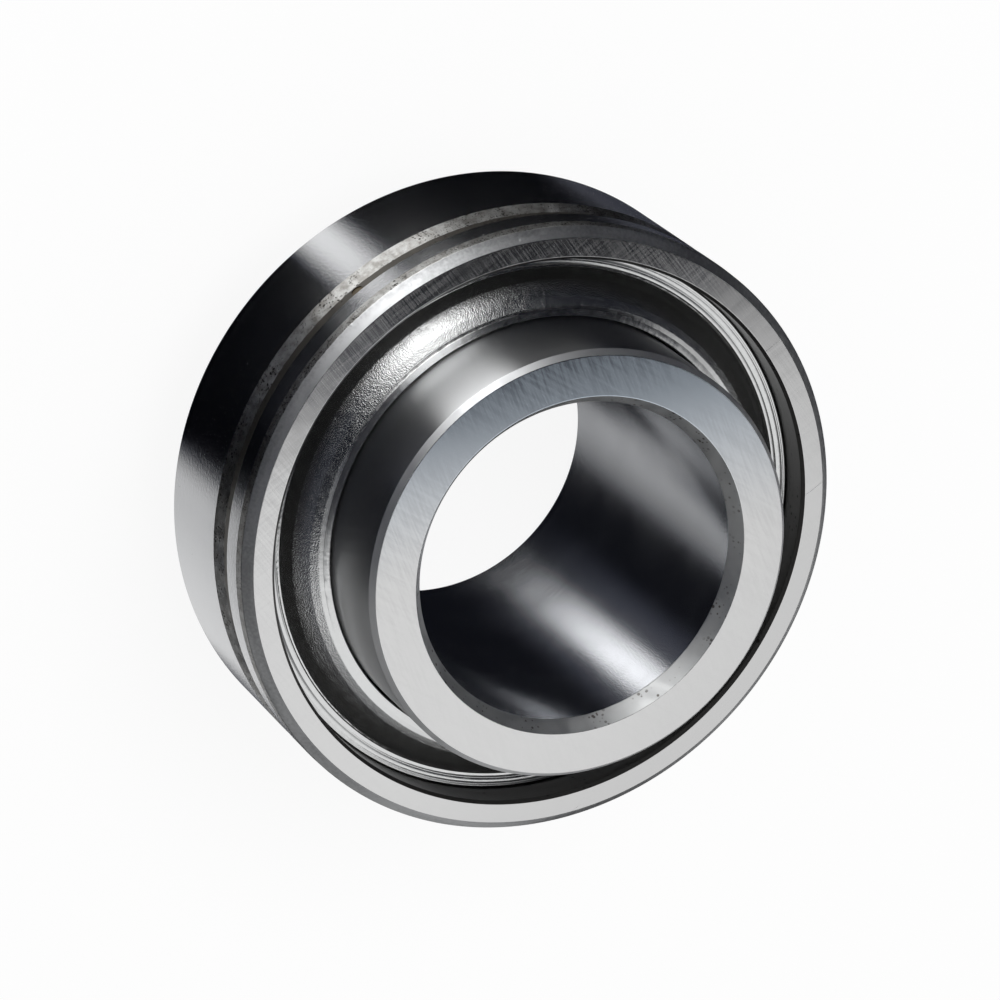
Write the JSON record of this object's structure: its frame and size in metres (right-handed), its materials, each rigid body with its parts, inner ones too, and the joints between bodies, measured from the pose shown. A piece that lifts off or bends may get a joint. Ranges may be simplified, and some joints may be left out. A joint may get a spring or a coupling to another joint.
{
  "type": "disc harrow bearing",
  "caption": "Wide-inner-ring agricultural ball bearing with a plain round bore, a grooved outer ring, a riveted ribbon cage and capped lip seals on both sides.",
  "frame": {"origin": "centre of the bearing, on its axis and in the plane of the ball centres", "axes": "+Z along the bearing's axis, towards the side with the relubrication groove; the ball of the first node is on +X"},
  "size_m": [0.1, 0.1, 0.062],
  "materials": {
    "outer_ring_steel": "ground bearing steel, turned chamfers and groove",
    "inner_ring_steel": "ground bearing steel with a honed bore",
    "ball_steel": "polished",
    "cage_steel": "pressed steel, plain",
    "rivet_steel": "headed wire, plain",
    "cap_steel": "pressed and bright plated",
    "carrier_steel": "pressed steel, plain",
    "lip_rubber": "moulded nitrile rubber"
  },
  "bodies": {
    "outer": {"outer_ring": "outer_ring_steel", "front_seal_cap": "cap_steel", "front_seal_carrier": "carrier_steel", "front_seal_lips": "lip_rubber", "rear_seal_cap": "cap_steel", "rear_seal_carrier": "carrier_steel", "rear_seal_lips": "lip_rubber"},
    "inner": {"inner_ring": "inner_ring_steel"},
    "cage": {"cage_front": "cage_steel", "cage_rear": "cage_steel", "cage_rivets": "rivet_steel"},
    "ball_01": {"ball_01": "ball_steel"},
    "ball_02": {"ball_02": "ball_steel"},
    "ball_03": {"ball_03": "ball_steel"},
    "ball_04": {"ball_04": "ball_steel"},
    "ball_05": {"ball_05": "ball_steel"},
    "ball_06": {"ball_06": "ball_steel"},
    "ball_07": {"ball_07": "ball_steel"},
    "ball_08": {"ball_08": "ball_steel"},
    "ball_09": {"ball_09": "ball_steel"},
    "ball_10": {"ball_10": "ball_steel"}
  },
  "joints": [
    {"name": "inner_spin", "type": "hinge", "parent": "outer", "child": "inner", "pos_m": [0, 0, 0], "axis": [0, 0, 1], "continuous": true},
    {"name": "cage_spin", "type": "hinge", "parent": "outer", "child": "cage", "pos_m": [0, 0, 0], "axis": [0, 0, 1], "continuous": true},
    {"name": "ball_01_spin", "type": "hinge", "parent": "cage", "child": "ball_01", "pos_m": [0.03875, 0, 0], "axis": [0, 0, 1], "continuous": true},
    {"name": "ball_02_spin", "type": "hinge", "parent": "cage", "child": "ball_02", "pos_m": [0.03135, 0.02278, 0], "axis": [0, 0, 1], "continuous": true},
    {"name": "ball_03_spin", "type": "hinge", "parent": "cage", "child": "ball_03", "pos_m": [0.01197, 0.03685, 0], "axis": [0, 0, 1], "continuous": true},
    {"name": "ball_04_spin", "type": "hinge", "parent": "cage", "child": "ball_04", "pos_m": [-0.01197, 0.03685, 0], "axis": [0, 0, 1], "continuous": true},
    {"name": "ball_05_spin", "type": "hinge", "parent": "cage", "child": "ball_05", "pos_m": [-0.03135, 0.02278, 0], "axis": [0, 0, 1], "continuous": true},
    {"name": "ball_06_spin", "type": "hinge", "parent": "cage", "child": "ball_06", "pos_m": [-0.03875, 0, 0], "axis": [0, 0, 1], "continuous": true},
    {"name": "ball_07_spin", "type": "hinge", "parent": "cage", "child": "ball_07", "pos_m": [-0.03135, -0.02278, 0], "axis": [0, 0, 1], "continuous": true},
    {"name": "ball_08_spin", "type": "hinge", "parent": "cage", "child": "ball_08", "pos_m": [-0.01197, -0.03685, 0], "axis": [0, 0, 1], "continuous": true},
    {"name": "ball_09_spin", "type": "hinge", "parent": "cage", "child": "ball_09", "pos_m": [0.01197, -0.03685, 0], "axis": [0, 0, 1], "continuous": true},
    {"name": "ball_10_spin", "type": "hinge", "parent": "cage", "child": "ball_10", "pos_m": [0.03135, -0.02278, 0], "axis": [0, 0, 1], "continuous": true}
  ],
  "couplings": [
    {"joint": "cage_spin", "follows": "inner_spin", "ratio": 0.40782},
    {"joint": "ball_01_spin", "follows": "inner_spin", "ratio": -2.62},
    {"joint": "ball_02_spin", "follows": "inner_spin", "ratio": -2.62},
    {"joint": "ball_03_spin", "follows": "inner_spin", "ratio": -2.62},
    {"joint": "ball_04_spin", "follows": "inner_spin", "ratio": -2.62},
    {"joint": "ball_05_spin", "follows": "inner_spin", "ratio": -2.62},
    {"joint": "ball_06_spin", "follows": "inner_spin", "ratio": -2.62},
    {"joint": "ball_07_spin", "follows": "inner_spin", "ratio": -2.62},
    {"joint": "ball_08_spin", "follows": "inner_spin", "ratio": -2.62},
    {"joint": "ball_09_spin", "follows": "inner_spin", "ratio": -2.62},
    {"joint": "ball_10_spin", "follows": "inner_spin", "ratio": -2.62}
  ]
}
